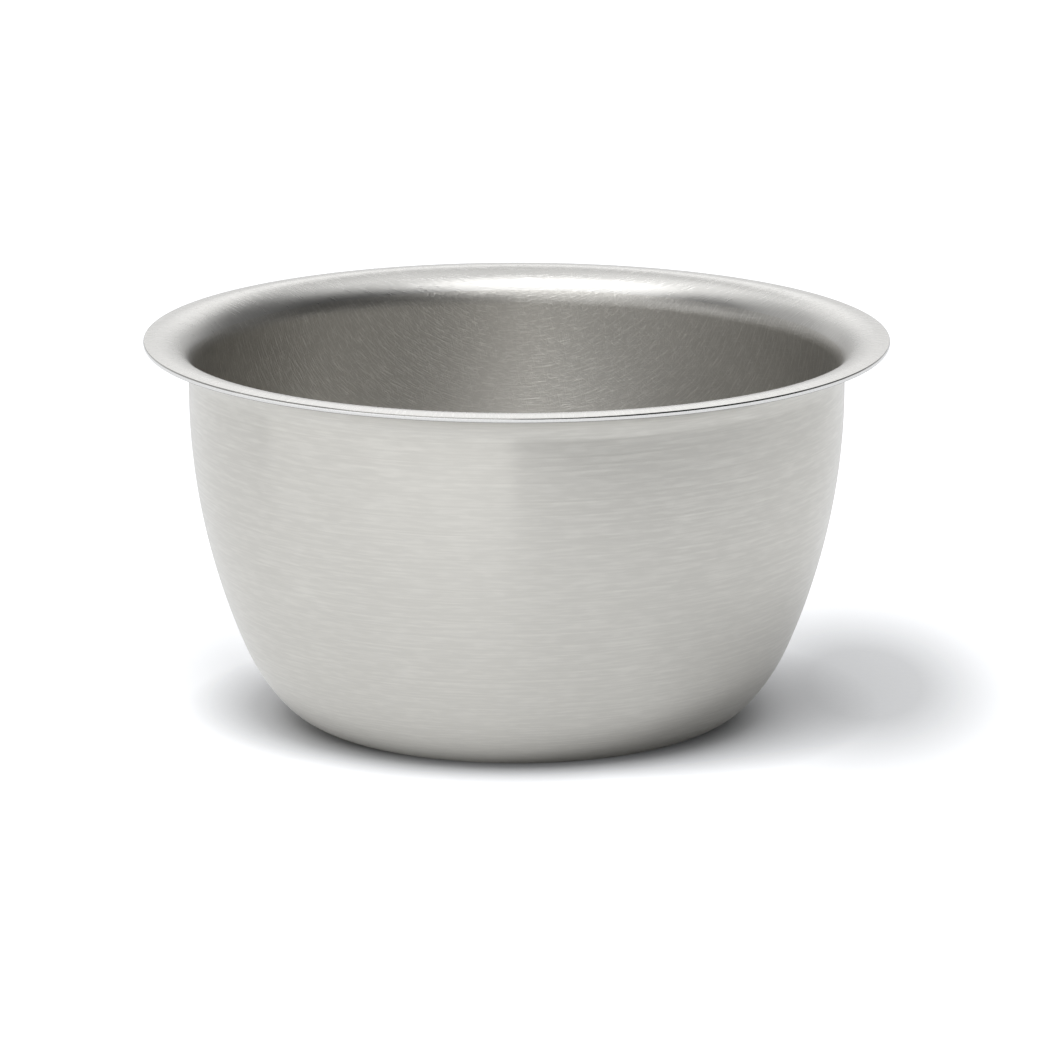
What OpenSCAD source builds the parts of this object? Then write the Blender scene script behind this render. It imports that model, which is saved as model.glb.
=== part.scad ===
// Prep bowl pressed from one round blank of stainless steel sheet.
// The frame has +Z up and its origin at the centre of the flat base, on the surface it stands on.
// The sheet keeps one thickness along its whole section, which is spun once round the Z axis.

/* [Sheet] */

// Thickness of the steel sheet
sheet_t = 0.9; // [0.6:0.1:1.2]
// Radius of the smoothed corners on the cut edge of the rim
edge_r = 0.28; // [0.1:0.02:0.4]

/* [Rim] */

// Outer diameter of the rim
rim_d = 130; // [100:1:200]
// How far the rim stands out from the wall
rim_w = 7.85; // [6.5:0.05:12]
// Radius of the bend between the wall and the rim, on its outer side
bend_r = 5.4; // [2:0.1:6.5]
// Angle by which the rim slopes down towards its edge
rim_slope = 5; // [0:0.5:12]

/* [Body] */

// Height from the base to the top of the rim
height = 68.2; // [56:0.1:90]
// Height of the straight upright collar below the bend
collar_h = 2.5; // [1:0.1:8]
// How far the edge of the flat base stands in from the upright collar
base_inset = 26.1; // [22:0.1:30]
// Outer radius of the corner that turns up from the base
corner_r = 14.5; // [12:0.5:17]
// Angle through which that corner turns
corner_sweep = 48; // [40:1:56]
// Outer radius of the heel between the corner and the tall wall
heel_r = 34; // [28:1:40]

/* [Hidden] */

// Colour of the brushed steel
steel = [0.62, 0.62, 0.6];
// Largest gap between an arc of the section and its chords
chord_gap = 0.005;
// Steps round the axis in the preview mesh
round_steps = 180;

rim_r = rim_d / 2;
wall_r = rim_r - rim_w;
base_r = wall_r - base_inset;
// Directions are in degrees from +X in the section, so straight down is -90.
down = -90;
heel_from = down + corner_sweep;

// Height at which the tall wall comes upright.
upright_z = height - sheet_t - bend_r - collar_h;

// Each arc is tangent to the next, so their centres lie on one line with the point where they meet.
corner_centre = [base_r, corner_r];
heel_centre = corner_centre + (corner_r - heel_r) * direction(heel_from);
// The wall's radius is the one that touches the heel and comes upright at wall_r.
heel_run = wall_r - heel_centre.x;
heel_rise = upright_z - heel_centre.y;
tall_r = (heel_run * heel_run + heel_rise * heel_rise - heel_r * heel_r) / (2 * (heel_run - heel_r));
tall_centre = [wall_r - tall_r, upright_z];
tall_from = atan2(heel_centre.y - tall_centre.y, heel_centre.x - tall_centre.x);
bend_centre = [wall_r + bend_r, height - sheet_t - bend_r];

// The smoothed corners never take up the whole cut edge.
edge_round = min(edge_r, 0.45 * sheet_t);
// Directions along the sloping rim and square to it.
rim_along = direction(-rim_slope);
rim_above = direction(90 - rim_slope);
// Length of the straight rim, which brings its edge out to rim_r.
top_round_r = bend_r + sheet_t - edge_round;
rim_flat = (rim_r - edge_round - bend_centre.x - top_round_r * rim_above.x) / rim_along.x;
// Centres of the two smoothed corners.
low_corner = bend_centre + (bend_r + edge_round) * rim_above + rim_flat * rim_along;
top_corner = bend_centre + top_round_r * rim_above + rim_flat * rim_along;

// What this model draws, by name.
// The node to draw, or all of them

function direction(angle) = [cos(angle), sin(angle)];
function reversed(points) = [for (i = [len(points) - 1 : -1 : 0]) points[i]];
function arc_steps(radius, turn) = ceil(abs(turn) / (2 * acos(1 - chord_gap / radius)));

// Points along an arc, without its first one.
function arc(centre, radius, from, to) =
    let (steps = arc_steps(radius, to - from))
    [for (i = [1 : steps]) centre + radius * direction(from + (to - from) * i / steps)];

// One face of the sheet from the base to the rim, as far into the sheet as depth.
function face_of_sheet(depth) = concat(
    [[base_r, depth]],
    arc(corner_centre, corner_r - depth, down, heel_from),
    arc(heel_centre, heel_r - depth, heel_from, tall_from),
    arc(tall_centre, tall_r - depth, tall_from, 0),
    [[wall_r - depth, bend_centre.y]],
    arc(bend_centre, bend_r + depth, 180, 90 - rim_slope)
);

// The cut edge of the rim with its two smoothed corners, from the underside to the top.
function cut_edge() = concat(
    [low_corner - edge_round * rim_above],
    arc(low_corner, edge_round, down - rim_slope, -rim_slope),
    [top_corner + edge_round * rim_along],
    arc(top_corner, edge_round, -rim_slope, 90 - rim_slope)
);

function sheet_section() = concat(
    [[0, 0]],
    face_of_sheet(0),
    cut_edge(),
    reversed(face_of_sheet(sheet_t)),
    [[0, sheet_t]]
);

module bowl() {
    color(steel) rotate_extrude($fn = round_steps) polygon(sheet_section());
}

bowl();
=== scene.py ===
import math

import bpy
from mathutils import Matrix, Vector


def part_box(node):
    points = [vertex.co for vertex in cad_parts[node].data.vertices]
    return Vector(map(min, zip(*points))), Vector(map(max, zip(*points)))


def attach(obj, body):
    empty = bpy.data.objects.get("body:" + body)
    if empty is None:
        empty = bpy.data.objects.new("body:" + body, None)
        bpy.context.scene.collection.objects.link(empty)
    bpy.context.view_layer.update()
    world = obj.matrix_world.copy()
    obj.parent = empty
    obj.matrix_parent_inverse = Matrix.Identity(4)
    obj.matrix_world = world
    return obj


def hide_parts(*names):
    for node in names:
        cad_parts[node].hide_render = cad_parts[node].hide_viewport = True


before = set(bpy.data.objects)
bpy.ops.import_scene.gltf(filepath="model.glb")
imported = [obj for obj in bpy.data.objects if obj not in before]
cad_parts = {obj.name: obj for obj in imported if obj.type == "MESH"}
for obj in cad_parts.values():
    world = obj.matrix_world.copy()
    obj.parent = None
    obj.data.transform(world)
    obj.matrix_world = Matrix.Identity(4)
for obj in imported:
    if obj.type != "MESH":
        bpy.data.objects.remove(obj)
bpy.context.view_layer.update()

# Sizes of the sheet in metres. The rim's radius and the height come from the frame.
MM = 0.001
low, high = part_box("bowl")
RIM_R = (high.x - low.x) / 2
HEIGHT = high.z - low.z
SHEET = 0.9 * MM
RIM_W = 7.85 * MM
BEND_R = 5.4 * MM
RIM_SLOPE = 5.0
COLLAR = 2.5 * MM
BASE_INSET = 26.1 * MM
CORNER_R = 14.5 * MM
CORNER_SWEEP = 48.0
HEEL_R = 34.0 * MM
WALL_R = RIM_R - RIM_W
BASE_R = WALL_R - BASE_INSET
# How far the middle of the cut edge stands out beyond its corners.
EDGE_CROWN = 0.18 * MM

# Directions in the section, in degrees from straight out.
OUT = 0
UP = 90
IN = 180
DOWN = -90
# Directions of the sheet's normal at which one finish gives way to the next: up the cut edge, over the bend.
# Up to this direction, the lower corner of the cut edge carries painted shade.
UNDER_CORNER_TO_EDGE = -30
EDGE_TO_SHOULDER = 5
RIM_TO_UPPER_BEND = 130
UPPER_TO_LOWER_BEND = 155

# Mesh density: steps round the axis, and the longest step and the largest turns along the section.
ROUND_STEPS = 320
LONGEST_STEP = 1.6 * MM
TURN_STEP = 4.0
EDGE_TURN_STEP = 6.0
# A point of the section that lies nearer to the axis than this is on it.
ON_AXIS = 1e-9

# Photograph: its width in pixels, and where the centre of the rim's edge lies in it.
PHOTO = 1050
RIM_PIXEL = (516.5, 339.3)
EDGE_BELOW_TOP = 0.64 * MM
# Camera: its distance from that centre, its rise above the level, and its scale there.
CAMERA_FAR = 1.4
CAMERA_RISE = 12.03
PIXELS_PER_MM = 5.742
SENSOR = 36.0
CLIP_END = 20

# Darkest and lightest colour of each finish.
OUTER_SHADES = ((0.633, 0.619, 0.579, 1), (0.706, 0.691, 0.647, 1))
INNER_SHADES = ((0.597, 0.584, 0.555, 1), (0.775, 0.762, 0.73, 1))
RIM_SHADES = ((0.64, 0.633, 0.615, 1), (0.70, 0.693, 0.675, 1))
# Rounded top of the cut edge: a darker copy of the steel, which paints part of the dark line along the front
# and darkens the outline at the back; the rest is its real reflection.
SHOULDER_PAINTED_SHADE = ((0.46, 0.455, 0.44, 1), (0.53, 0.525, 0.51, 1))
# Face of the cut edge: a lighter copy of the steel, which paints part of its light band; the rest is its real
# reflection of the floor.
EDGE_PAINTED_HIGHLIGHT = ((0.70, 0.695, 0.682, 1), (0.79, 0.785, 0.772, 1))
# Lower corner of the cut edge: a dark copy of the steel, which paints the shade under the rim's edge.
UNDER_CORNER_PAINTED_SHADE = ((0.20, 0.197, 0.19, 1), (0.34, 0.335, 0.325, 1))

# A quarter turn puts the spread of the highlight across the brushing.
SPREAD_TURN = 0.25
# Side on which the lengths round the axis start and end.
SEAM_AT_BACK = 1
SEAM_AT_FRONT = -1
# Range of the noise over which a scratch grows from nothing to its full depth.
SCRATCH_SOFT = 0.16
# Distance from their middle at which hanging arcs have their stated length.
ARC_REACH = 40 * MM
# Width of the fine grain on the rim and on the cut edge.
GRAIN = 0.4 * MM
# Angles of the scratches across the arcs on the inside wall, and of those on the inside floor.
WALL_ANGLES = (12, 55, 101, 146)
FLOOR_ANGLES = (8, 47, 83, 124, 161)
# Radii between which the scratches of the inside floor give way to those of the wall.
FLOOR_SCRATCHES_TO = BASE_R - 7 * MM
WALL_SCRATCHES_FROM = BASE_R + 2 * MM

# Paper floor: half its width in metres, its finish, and the colour of its glow.
FLOOR_HALF = 4.0
PAPER_SHADES = ((0.565, 0.57, 0.58, 1), (0.595, 0.60, 0.61, 1))
PAPER_GRAIN = 900
PAPER_ROUGHNESS = 0.9
PAPER_SPECULAR = 0.1
GLOW_COLOUR = (0.985, 1.0, 1.025, 1)
# Ovals of painted shade on the floor, where its glow is held back to shape the shadow round the bowl, each as
# its middle and its reach along X and Y in millimetres.
CONTACT_OVAL = ((-1.6, 6.9), (57.4, 54.7))
RIGHT_OVAL = ((62, 21.5), (41, 97))
LEFT_OVAL = ((-50, 34), (24, 62))
UNDER_OVAL = ((5.5, 4.6), (56, 50.2))
# Ramps of the glow that the camera sees, over the distance in an oval: start, end, and the level at each.
# Less glow inside the ovals paints shadow there.
CONTACT_DARK = (0.68, 0.775, 0, 0.13)
CONTACT_FADE = (0.775, 1.15, 0, 1.11)
RIGHT_SHADE = (0.25, 1.3, 0.2, 1)
LEFT_SHADE = (0, 1.25, 0.53, 1)
# The most of that glow, before the left oval's painted shade lowers it.
SEEN_MOST = 0.8
# Ramps of the glow that the steel mirrors. The first is over the distance from the axis in metres. The others
# hold it back under the bowl and to its right, which paints shade into the floor that the steel mirrors.
FAR_MIRRORED = (0.3, 0.7, 1.0, 1.56)
UNDER_MIRRORED = (0.84, 1.0, 0, 0.436)
RIGHT_MIRRORED = (0.12, 1.0, 0.3, 1)

# Plain areas of the studio: the radiance of each, its span in azimuth and its span in rise. A span is its
# start, its end and the blur of both, in degrees. Azimuth 0 is the camera's side and grows to its right.
STUDIO_DIM = 0.033
NO_LIMIT = 300
CEILING = (0.82, (-NO_LIMIT, NO_LIMIT, 1), (52.4, NO_LIMIT, 17))
LEFT_WALL = (0.47, (-152, -95, 10), (-NO_LIMIT, 57.6, 20))
LEFT_CEILING = (0.316, (-159, -50, 30), (38.5, 74, 16))
RIGHT_WALL = (0.12, (95, 160, 20), (-NO_LIMIT, 54.4, 16))
RIGHT_CEILING = (0.216, (90, 160, 30), (44.8, 74, 16))
KEY_SKIRT = (0.64, (-35.6, 9.2, 23), (15.7, 42.9, 16))
# Areas round the middle of the back, whose azimuth is counted to both sides.
BACKDROP = (0.70, (152, NO_LIMIT, 43), (-NO_LIMIT, 52, 20))
BACK_STRIP = (0.74, (152, NO_LIMIT, 20), (17, 36, 10))


def direction(angle):
    """Unit vector in the section, in degrees from straight out."""
    return Vector((math.cos(math.radians(angle)), math.sin(math.radians(angle))))


def line_points(start, end):
    """Points and normals along a straight stretch of the section, without its first point."""
    run = end - start
    steps = max(1, math.ceil(run.length / LONGEST_STEP))
    normal = Vector((run.y, -run.x)).normalized()
    return [(start + run * i / steps, normal) for i in range(1, steps + 1)]


def arc_points(centre, radius, start, end, outward=True):
    """Points and normals along an arc of the section, without its first point."""
    by_turn = abs(end - start) / TURN_STEP
    by_length = math.radians(abs(end - start)) * radius / LONGEST_STEP
    steps = math.ceil(max(by_turn, by_length))
    out = []
    for i in range(1, steps + 1):
        ray = direction(start + (end - start) * i / steps)
        out.append((centre + radius * ray, ray if outward else -ray))
    return out


def crown_points(centre, half, start, end):
    """Points and normals along the crowned cut edge, from one direction of its normal to another, without the
    first point."""
    steps = math.ceil(abs(end - start) / EDGE_TURN_STEP)
    out = []
    for i in range(1, steps + 1):
        turn = start + (end - start) * i / steps
        local = direction(turn + RIM_SLOPE)
        reach = math.hypot(EDGE_CROWN * local.x, half * local.y)
        aside = EDGE_CROWN * EDGE_CROWN * local.x / reach * direction(-RIM_SLOPE)
        above = half * half * local.y / reach * direction(UP - RIM_SLOPE)
        out.append((centre + aside + above, direction(turn)))
    return out


def sheet_section():
    """The section of the sheet as runs of points, one for each finish, from the middle of the base round the
    rim to the middle of the inside floor."""
    upright = HEIGHT - SHEET - BEND_R - COLLAR
    heel_from = DOWN + CORNER_SWEEP
    corner = Vector((BASE_R, CORNER_R))
    heel = corner + (CORNER_R - HEEL_R) * direction(heel_from)
    # The wall's radius is the one that touches the heel and comes upright at WALL_R.
    run, rise = WALL_R - heel.x, upright - heel.y
    tall_r = (run * run + rise * rise - HEEL_R * HEEL_R) / (2 * (run - HEEL_R))
    tall = Vector((WALL_R - tall_r, upright))
    tall_from = math.degrees(math.atan2(heel.y - tall.y, heel.x - tall.x))
    bend = Vector((WALL_R + BEND_R, HEIGHT - SHEET - BEND_R))
    rim_up = UP - RIM_SLOPE
    along = direction(-RIM_SLOPE)
    above = direction(rim_up)
    low_start = bend + BEND_R * above
    top_start = bend + (BEND_R + SHEET) * above
    # The cut edge lies where its crown comes out to the rim's radius.
    half = SHEET / 2
    middle = low_start + half * above
    reach = math.hypot(EDGE_CROWN * along.x, half * along.y)
    edge_centre = middle + (RIM_R - reach - middle.x) / along.x * along

    outside = [(Vector((0, 0)), Vector((0, -1)))]
    outside += line_points(Vector((0, 0)), Vector((BASE_R, 0)))
    outside += arc_points(corner, CORNER_R, DOWN, heel_from)
    outside += arc_points(heel, HEEL_R, heel_from, tall_from)
    outside += arc_points(tall, tall_r, tall_from, OUT)
    outside += line_points(Vector((WALL_R, upright)), Vector((WALL_R, bend.y)))
    outside += arc_points(bend, BEND_R, IN, rim_up, outward=False)
    outside += line_points(low_start, edge_centre - half * above)

    # The lower corner of the cut edge, darkened with painted shade.
    under_corner = crown_points(edge_centre, half, DOWN - RIM_SLOPE, UNDER_CORNER_TO_EDGE)
    edge = crown_points(edge_centre, half, UNDER_CORNER_TO_EDGE, EDGE_TO_SHOULDER)
    shoulder = crown_points(edge_centre, half, EDGE_TO_SHOULDER, rim_up)

    rim = line_points(edge_centre + half * above, top_start)
    rim += arc_points(bend, BEND_R + SHEET, rim_up, RIM_TO_UPPER_BEND)
    upper_bend = arc_points(bend, BEND_R + SHEET, RIM_TO_UPPER_BEND, UPPER_TO_LOWER_BEND)
    lower_bend = arc_points(bend, BEND_R + SHEET, UPPER_TO_LOWER_BEND, IN)

    inner_r = WALL_R - SHEET
    inside = line_points(Vector((inner_r, bend.y)), Vector((inner_r, upright)))
    inside += arc_points(tall, tall_r - SHEET, OUT, tall_from, outward=False)
    inside += arc_points(heel, HEEL_R - SHEET, tall_from, heel_from, outward=False)
    inside += arc_points(corner, CORNER_R - SHEET, heel_from, DOWN, outward=False)
    inside += line_points(Vector((BASE_R, SHEET)), Vector((0, SHEET)))
    return outside, under_corner, edge, shoulder, rim, upper_bend, lower_bend, inside


def spun_mesh(name, runs):
    """Spins the runs of section points round Z. Each run is one material, and the ends lie on the axis."""
    points = [point for run in runs for point in run]
    run_of = [k for k, run in enumerate(runs) for _ in run]
    along = [0.0]
    for (a, _), (b, _) in zip(points, points[1:]):
        along.append(along[-1] + (b - a).length)
    total = along[-1]

    verts, normals, rings = [], [], []
    for point, normal in points:
        on_axis = point.x < ON_AXIS
        ring = []
        for k in range(1 if on_axis else ROUND_STEPS):
            turn = 2 * math.pi * k / ROUND_STEPS
            ring.append(len(verts))
            verts.append((point.x * math.cos(turn), point.x * math.sin(turn), point.y))
            flat = 0.0 if on_axis else normal.x
            normals.append((flat * math.cos(turn), flat * math.sin(turn), normal.y))
        rings.append(ring)

    faces, corners_uv, slots = [], [], []
    for i in range(len(rings) - 1):
        low_ring, high_ring = rings[i], rings[i + 1]
        v0, v1 = along[i] / total, along[i + 1] / total
        for k in range(ROUND_STEPS):
            u0, u1 = k / ROUND_STEPS, (k + 1) / ROUND_STEPS
            n = (k + 1) % ROUND_STEPS
            if len(low_ring) == 1:
                faces.append((low_ring[0], high_ring[n], high_ring[k]))
                corners_uv.append((((u0 + u1) / 2, v0), (u1, v1), (u0, v1)))
            elif len(high_ring) == 1:
                faces.append((low_ring[k], low_ring[n], high_ring[0]))
                corners_uv.append(((u0, v0), (u1, v0), ((u0 + u1) / 2, v1)))
            else:
                faces.append((low_ring[k], low_ring[n], high_ring[n], high_ring[k]))
                corners_uv.append(((u0, v0), (u1, v0), (u1, v1), (u0, v1)))
            slots.append(run_of[i + 1])

    mesh = bpy.data.meshes.new(name)
    mesh.from_pydata(verts, [], faces)
    layer = mesh.uv_layers.new(name="OFBake")
    for face, uvs in zip(mesh.polygons, corners_uv):
        for loop, uv in zip(face.loop_indices, uvs):
            layer.data[loop].uv = uv
    mesh.polygons.foreach_set("material_index", slots)
    mesh.polygons.foreach_set("use_smooth", [True] * len(faces))
    mesh.normals_split_custom_set_from_vertices(normals)
    mesh.update()
    piece = bpy.data.objects.new(name, mesh)
    bpy.context.scene.collection.objects.link(piece)
    return piece


class Nodes:
    """A short way to add and link the nodes of one material or world."""

    # Places of the colour sockets on a mix node.
    MIX_A = 6
    MIX_B = 7
    MIX_RESULT = 2

    def __init__(self, tree):
        self.tree = tree

    def add(self, kind, **settings):
        node = self.tree.nodes.new(kind)
        for key, value in settings.items():
            setattr(node, key, value)
        return node

    def put(self, socket, value):
        """Links value to the socket if it comes from a node, and else sets it there."""
        if isinstance(value, bpy.types.NodeSocket):
            self.tree.links.new(value, socket)
        else:
            socket.default_value = value

    def math(self, operation, a, b=0.0):
        node = self.add("ShaderNodeMath", operation=operation)
        self.put(node.inputs[0], a)
        self.put(node.inputs[1], b)
        return node.outputs[0]

    def ramp(self, value, low_in, high_in, low_out, high_out):
        node = self.add("ShaderNodeMapRange", clamp=True)
        for socket, number in zip(node.inputs, (value, low_in, high_in, low_out, high_out)):
            self.put(socket, number)
        return node.outputs[0]

    def noise(self, vector, detail=2.0, roughness=0.5, scale=1.0, dimensions="3D"):
        node = self.add("ShaderNodeTexNoise", noise_dimensions=dimensions)
        self.put(node.inputs["Vector"], vector)
        self.put(node.inputs["Scale"], scale)
        self.put(node.inputs["Detail"], detail)
        self.put(node.inputs["Roughness"], roughness)
        return node.outputs["Fac"]

    def mix(self, factor, a, b):
        node = self.add("ShaderNodeMix", data_type="RGBA")
        self.put(node.inputs["Factor"], factor)
        self.put(node.inputs[self.MIX_A], a)
        self.put(node.inputs[self.MIX_B], b)
        return node.outputs[self.MIX_RESULT]

    def place(self):
        """Place of the shaded point on its own object."""
        return self.add("ShaderNodeTexCoord").outputs["Object"]

    def length(self, vector):
        node = self.add("ShaderNodeVectorMath", operation="LENGTH")
        self.put(node.inputs[0], vector)
        return node.outputs["Value"]

    def parts(self, vector):
        """The X, Y and Z of a vector."""
        node = self.add("ShaderNodeSeparateXYZ")
        self.put(node.inputs[0], vector)
        return node.outputs

    def joined(self, x, y):
        """A vector of X and Y."""
        node = self.add("ShaderNodeCombineXYZ")
        self.put(node.inputs[0], x)
        self.put(node.inputs[1], y)
        return node.outputs[0]

    def far(self, x, y):
        """Distance from the origin to a place with this X and Y."""
        return self.math("SQRT", self.math("ADD", self.math("MULTIPLY", x, x), self.math("MULTIPLY", y, y)))


def sheet_map(nodes, seam):
    """Lengths round the axis, at the wall's radius, and along the section."""
    x, y, z = nodes.parts(nodes.place())
    turn = nodes.math("ARCTAN2", x, nodes.math("MULTIPLY", y, -seam))
    return nodes.joined(nodes.math("MULTIPLY", turn, WALL_R), nodes.math("ADD", nodes.far(x, y), z))


def scratches(nodes, where, start):
    """Scratches along X: 1 in their middle and 0 between them. A higher start gives fewer."""
    fine = nodes.noise(where, detail=1, dimensions="2D")
    return nodes.ramp(fine, start, start + SCRATCH_SOFT, 0, 1)


def strokes(nodes, where, angle, length, width, start):
    """Straight scratches at an angle to the X of where. Each angle also starts at a place of its own."""
    node = nodes.add("ShaderNodeMapping", vector_type="TEXTURE")
    nodes.put(node.inputs["Vector"], where)
    node.inputs["Location"].default_value = (angle * MM, angle * MM, 0)
    node.inputs["Rotation"].default_value = (0, 0, math.radians(angle))
    node.inputs["Scale"].default_value = (length, width, 1)
    return scratches(nodes, node.outputs[0], start)


def arcs(nodes, where, rise, length, width, start):
    """Scratches that hang in arcs round a point at the back, which lies at a given rise along the section.
    The arcs follow the glints of light on scratches round the highlight at the back, so their lighter colour
    is partly painted glint.
    """
    aside, height, _ = nodes.parts(where)
    below = nodes.math("SUBTRACT", rise, height)
    turn = nodes.math("MULTIPLY", nodes.math("ARCTAN2", aside, below), ARC_REACH / length)
    return scratches(nodes, nodes.joined(turn, nodes.math("DIVIDE", nodes.far(aside, below), width)), start)


def total_of(nodes, parts):
    """Sum of weighted patterns, given as pairs of a weight and a pattern."""
    total = 0.0
    for weight, part in parts:
        total = nodes.math("ADD", total, nodes.math("MULTIPLY", part, weight))
    return total


def steel(name, pattern, shades, roughness, spread, anisotropy, bump):
    """Satin steel. pattern(nodes) gives a height, mostly from 0 to 1, which shades colour and roughness."""
    material = bpy.data.materials.new(name)
    material.use_nodes = True
    nodes = Nodes(material.node_tree)
    shader = material.node_tree.nodes["Principled BSDF"]
    height = pattern(nodes)
    shader.inputs["Metallic"].default_value = 1.0
    shader.inputs["Anisotropic"].default_value = anisotropy
    shader.inputs["Anisotropic Rotation"].default_value = SPREAD_TURN
    tangent = nodes.add("ShaderNodeTangent", direction_type="RADIAL", axis="Z")
    nodes.put(shader.inputs["Tangent"], tangent.outputs[0])
    nodes.put(shader.inputs["Base Color"], nodes.mix(height, *shades))
    nodes.put(shader.inputs["Roughness"], nodes.ramp(height, 0, 1, roughness + spread, roughness - spread))
    lift = nodes.add("ShaderNodeBump")
    lift.inputs["Strength"].default_value = 1.0
    lift.inputs["Distance"].default_value = bump
    nodes.put(lift.inputs["Height"], height)
    nodes.put(shader.inputs["Normal"], lift.outputs[0])
    return material


def ring_brushing(nodes):
    """Fine level brushing with a few long light lines and a few long grooves."""
    where = sheet_map(nodes, SEAM_AT_BACK)
    return total_of(nodes, (
        (0.3, strokes(nodes, where, angle=0, length=4 * MM, width=0.65 * MM, start=0.46)),
        (0.3, strokes(nodes, where, angle=1.2, length=9 * MM, width=0.75 * MM, start=0.46)),
        (0.15, strokes(nodes, where, angle=-0.8, length=30 * MM, width=0.8 * MM, start=0.5)),
        (0.3, strokes(nodes, where, angle=0.5, length=60 * MM, width=0.5 * MM, start=0.62)),
        (-0.6, strokes(nodes, where, angle=0.8, length=40 * MM, width=0.5 * MM, start=0.58)),
    ))


def crossing_scratches(nodes):
    """Short scratches in hanging arcs with a few others across them, which give way to straight ones in all
    directions on the inside floor. The arcs' lighter colour is partly painted glint round the highlight at
    the back."""
    where = sheet_map(nodes, SEAM_AT_FRONT)
    parts = [
        (0.3, arcs(nodes, where, rise=132 * MM, length=2.6 * MM, width=0.36 * MM, start=0.5)),
        (0.45, arcs(nodes, where, rise=140 * MM, length=3.5 * MM, width=0.42 * MM, start=0.58)),
    ]
    for angle in WALL_ANGLES:
        parts.append((0.2, strokes(nodes, where, angle, length=3 * MM, width=0.36 * MM, start=0.58)))
    wall = total_of(nodes, parts)

    x, y, _ = nodes.parts(nodes.place())
    level = nodes.joined(x, y)
    parts = []
    for angle in FLOOR_ANGLES:
        parts.append((0.26, strokes(nodes, level, angle, length=4 * MM, width=0.36 * MM, start=0.54)))
    floor = total_of(nodes, parts)
    share = nodes.ramp(nodes.length(level), FLOOR_SCRATCHES_TO, WALL_SCRATCHES_FROM, 0, 1)
    return nodes.math("ADD", floor, nodes.math("MULTIPLY", share, nodes.math("SUBTRACT", wall, floor)))


def rim_hatching(nodes):
    """Fine grain with slanting scratches across the rim and its bend, laid in arcs round the highlight at the
    back, so their lighter colour is partly painted glint.
    """
    where = sheet_map(nodes, SEAM_AT_FRONT)
    return total_of(nodes, (
        (0.25, nodes.noise(where, detail=1, scale=1 / GRAIN, dimensions="2D")),
        (0.5, arcs(nodes, where, rise=148 * MM, length=4 * MM, width=0.36 * MM, start=0.55)),
        (0.5, arcs(nodes, where, rise=160 * MM, length=4 * MM, width=0.36 * MM, start=0.55)),
    ))


def burnished(nodes):
    """Fine grain with no direction."""
    return nodes.noise(sheet_map(nodes, SEAM_AT_BACK), scale=1 / GRAIN, dimensions="2D")


def bowl_finishes():
    """The finishes of the sheet, in the order of the section's runs."""
    return (
        steel("outer_steel", ring_brushing, OUTER_SHADES,
              roughness=0.295, spread=0.02, anisotropy=0.94, bump=0.007 * MM),
        # Dark copy of the steel: painted shade under the cut edge.
        steel("under_corner_painted_shade_steel", burnished, UNDER_CORNER_PAINTED_SHADE,
              roughness=0.4, spread=0.03, anisotropy=0.0, bump=0.002 * MM),
        # Lighter copy of the steel: partly painted highlight on the cut edge's face.
        steel("edge_painted_highlight_steel", burnished, EDGE_PAINTED_HIGHLIGHT,
              roughness=0.16, spread=0.03, anisotropy=0.0, bump=0.001 * MM),
        # Darker copy of the steel: painted shade on the rounded top of the cut edge.
        steel("shoulder_painted_shade_steel", burnished, SHOULDER_PAINTED_SHADE,
              roughness=0.14, spread=0.03, anisotropy=0.0, bump=0.001 * MM),
        steel("rim_steel", rim_hatching, RIM_SHADES,
              roughness=0.27, spread=0.03, anisotropy=0.0, bump=0.02 * MM),
        steel("upper_bend_steel", rim_hatching, RIM_SHADES,
              roughness=0.30, spread=0.03, anisotropy=0.29, bump=0.02 * MM),
        steel("lower_bend_steel", crossing_scratches, INNER_SHADES,
              roughness=0.323, spread=0.03, anisotropy=0.49, bump=0.025 * MM),
        steel("inner_steel", crossing_scratches, INNER_SHADES,
              roughness=0.34, spread=0.03, anisotropy=0.6, bump=0.025 * MM),
    )


def lamp(name, place, target, width, height, radiance):
    """A soft box as an area lamp that faces target. Its power follows from the radiance of its face."""
    data = bpy.data.lights.new(name, "AREA")
    data.shape = "RECTANGLE"
    data.size = width
    data.size_y = height
    data.energy = radiance * math.pi * width * height
    box = bpy.data.objects.new(name, data)
    box.location = place
    box.rotation_mode = "QUATERNION"
    box.rotation_quaternion = (Vector(target) - Vector(place)).to_track_quat("-Z", "Y")
    box.visible_camera = False
    bpy.context.scene.collection.objects.link(box)


def polar(azimuth, rise, far):
    """A place round the bowl. Azimuth 0 is the camera's side and grows to its right."""
    a, e = math.radians(azimuth), math.radians(rise)
    return Vector((math.sin(a) * math.cos(e), -math.cos(a) * math.cos(e), math.sin(e))) * far


def oval_distance(nodes, where, oval):
    """Distance on the floor from the middle of an oval, as a share of its reach."""
    (x, y), (reach_x, reach_y) = oval
    node = nodes.add("ShaderNodeMapping", vector_type="TEXTURE")
    nodes.put(node.inputs["Vector"], where)
    node.inputs["Location"].default_value = (x * MM, y * MM, 0)
    node.inputs["Scale"].default_value = (reach_x * MM, reach_y * MM, 1)
    return nodes.length(node.outputs[0])


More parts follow.
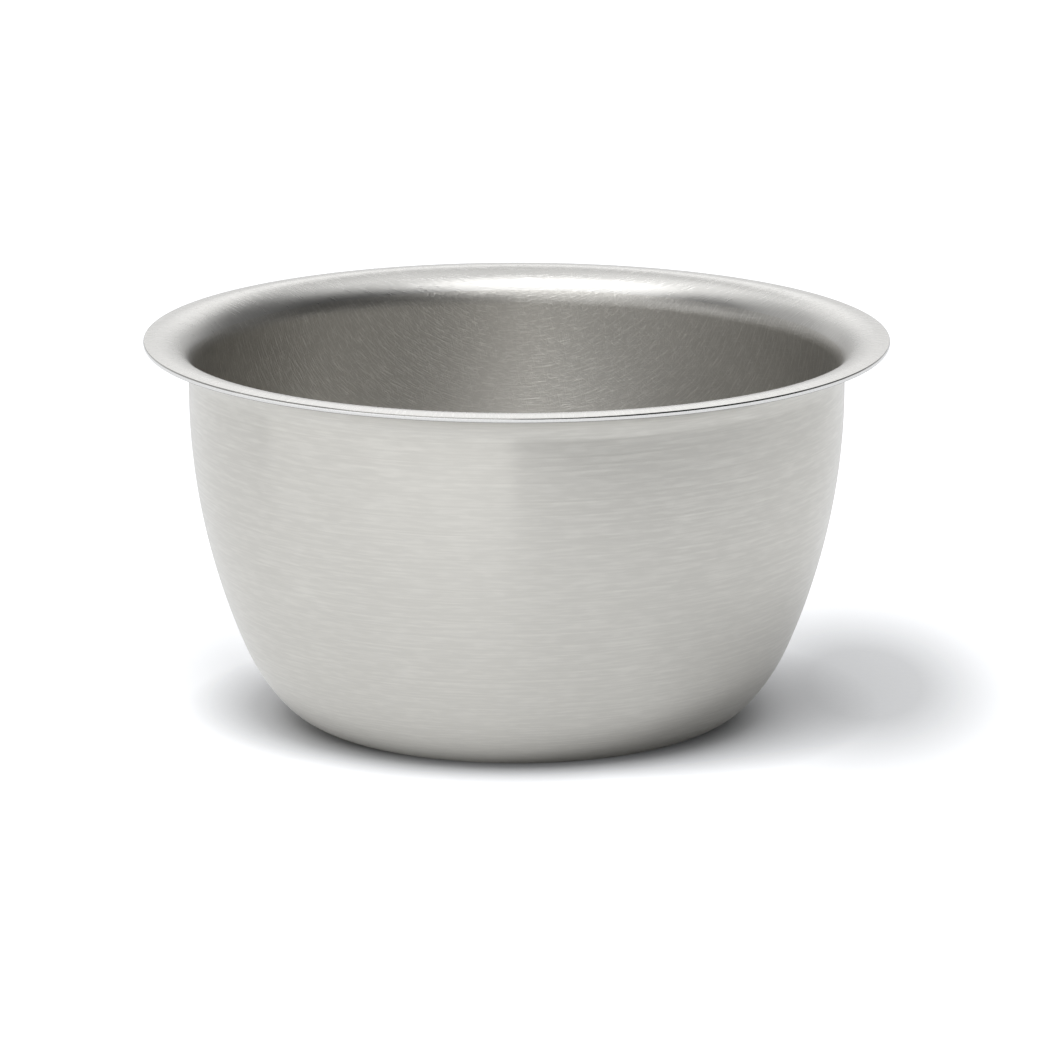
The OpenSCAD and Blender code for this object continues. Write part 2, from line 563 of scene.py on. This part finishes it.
def floor_paper():
    """Pale paper that keeps the shadow that the lamps cast. It glows for the camera and in the steel, less
    near the bowl:
    the ovals where the glow is held back paint more shadow round the bowl.
    """
    material = bpy.data.materials.new("floor_paper")
    material.use_nodes = True
    nodes = Nodes(material.node_tree)
    shader = material.node_tree.nodes["Principled BSDF"]
    shader.inputs["Roughness"].default_value = PAPER_ROUGHNESS
    shader.inputs["Specular IOR Level"].default_value = PAPER_SPECULAR
    where = nodes.place()
    nodes.put(shader.inputs["Base Color"], nodes.mix(nodes.noise(where, scale=PAPER_GRAIN), *PAPER_SHADES))
    path = nodes.add("ShaderNodeLightPath").outputs
    near = oval_distance(nodes, where, CONTACT_OVAL)
    right = oval_distance(nodes, where, RIGHT_OVAL)
    left = oval_distance(nodes, where, LEFT_OVAL)
    under = oval_distance(nodes, where, UNDER_OVAL)

    seen = nodes.math("ADD", nodes.ramp(near, *CONTACT_DARK), nodes.ramp(near, *CONTACT_FADE))
    seen = nodes.math("MULTIPLY", seen, nodes.ramp(right, *RIGHT_SHADE))
    seen = nodes.math("MULTIPLY", nodes.math("MINIMUM", seen, SEEN_MOST), nodes.ramp(left, *LEFT_SHADE))
    seen = nodes.math("MULTIPLY", seen, path["Is Camera Ray"])

    mirrored = nodes.math("MAXIMUM", path["Is Glossy Ray"], path["Is Transmission Ray"])
    mirrored = nodes.math("MULTIPLY", nodes.ramp(nodes.length(where), *FAR_MIRRORED), mirrored)
    mirrored = nodes.math("MULTIPLY", nodes.ramp(under, *UNDER_MIRRORED), mirrored)
    mirrored = nodes.math("MULTIPLY", nodes.ramp(right, *RIGHT_MIRRORED), mirrored)

    shader.inputs["Emission Color"].default_value = GLOW_COLOUR
    nodes.put(shader.inputs["Emission Strength"], nodes.math("ADD", seen, mirrored))
    return material


def make_floor():
    """A plain square of paper, which is stage and no part of the bowl."""
    half = FLOOR_HALF
    mesh = bpy.data.meshes.new("floor")
    corners = [(-half, -half, 0), (half, -half, 0), (half, half, 0), (-half, half, 0)]
    mesh.from_pydata(corners, [], [(0, 1, 2, 3)])
    mesh.materials.append(floor_paper())
    floor = bpy.data.objects.new("floor", mesh)
    bpy.context.scene.collection.objects.link(floor)


def between(nodes, value, start, end, blur):
    """1 where value lies from start to end, with both borders softened over blur."""
    rise = nodes.ramp(value, start - blur / 2, start + blur / 2, 0, 1)
    fall = nodes.ramp(value, end - blur / 2, end + blur / 2, 1, 0)
    return nodes.math("MULTIPLY", rise, fall)


def make_world():
    """A dim studio with a pale ceiling, a pale backdrop with a brighter strip, grey walls and ceilings to the
    left and right, and a skirt of light below the key box."""
    world = bpy.data.worlds.new("studio")
    bpy.context.scene.world = world
    world.use_nodes = True
    nodes = Nodes(world.node_tree)
    back = world.node_tree.nodes["Background"]
    x, y, z = nodes.parts(nodes.add("ShaderNodeTexCoord").outputs["Generated"])
    azimuth = nodes.math("DEGREES", nodes.math("ARCTAN2", x, nodes.math("MULTIPLY", y, -1.0)))
    to_both_sides = nodes.math("ABSOLUTE", azimuth)
    rise = nodes.math("DEGREES", nodes.math("ARCSINE", z))
    total = STUDIO_DIM
    for across, area in (
        (azimuth, CEILING),
        (to_both_sides, BACKDROP),
        (to_both_sides, BACK_STRIP),
        (azimuth, LEFT_WALL),
        (azimuth, LEFT_CEILING),
        (azimuth, RIGHT_WALL),
        (azimuth, RIGHT_CEILING),
        (azimuth, KEY_SKIRT),
    ):
        radiance, span, span_up = area
        inside = nodes.math("MULTIPLY", between(nodes, across, *span), between(nodes, rise, *span_up))
        total = nodes.math("ADD", total, nodes.math("MULTIPLY", inside, radiance))
    nodes.put(back.inputs["Strength"], total)
    back.inputs["Color"].default_value = (1, 1, 1, 1)


def make_camera():
    """The photograph's view: the rim's centre lands on its pixel, with no lens shift."""
    focal = PIXELS_PER_MM / MM * CAMERA_FAR
    half = PHOTO / 2
    down = CAMERA_RISE + math.degrees(math.atan((half - RIM_PIXEL[1]) / focal))
    aside = math.atan((half - RIM_PIXEL[0]) / focal)
    data = bpy.data.cameras.new("camera")
    data.sensor_width = SENSOR
    data.lens = focal / PHOTO * SENSOR
    data.clip_end = CLIP_END
    camera = bpy.data.objects.new("camera", data)
    rim_centre = Vector((0, 0, HEIGHT - EDGE_BELOW_TOP))
    camera.location = rim_centre + polar(0, CAMERA_RISE, CAMERA_FAR)
    camera.rotation_euler = (math.radians(90 - down), 0, -aside)
    bpy.context.scene.collection.objects.link(camera)
    bpy.context.scene.camera = camera


bowl = spun_mesh("bowl_sheet", sheet_section())
for finish in bowl_finishes():
    bowl.data.materials.append(finish)
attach(bowl, "root")
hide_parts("bowl")

make_floor()
make_world()
make_camera()
MIDDLE = (0, 0, HEIGHT / 2)
key_place = polar(azimuth=-17.5, rise=61.1, far=1.0)
lamp("key_box", key_place, MIDDLE, width=1.24, height=0.887, radiance=1.37)
panel_place = polar(azimuth=-46.5, rise=12, far=0.9)
lamp("low_panel", panel_place, MIDDLE, width=1.83, height=0.379, radiance=0.863)

bpy.context.scene.view_settings.view_transform = "Standard"
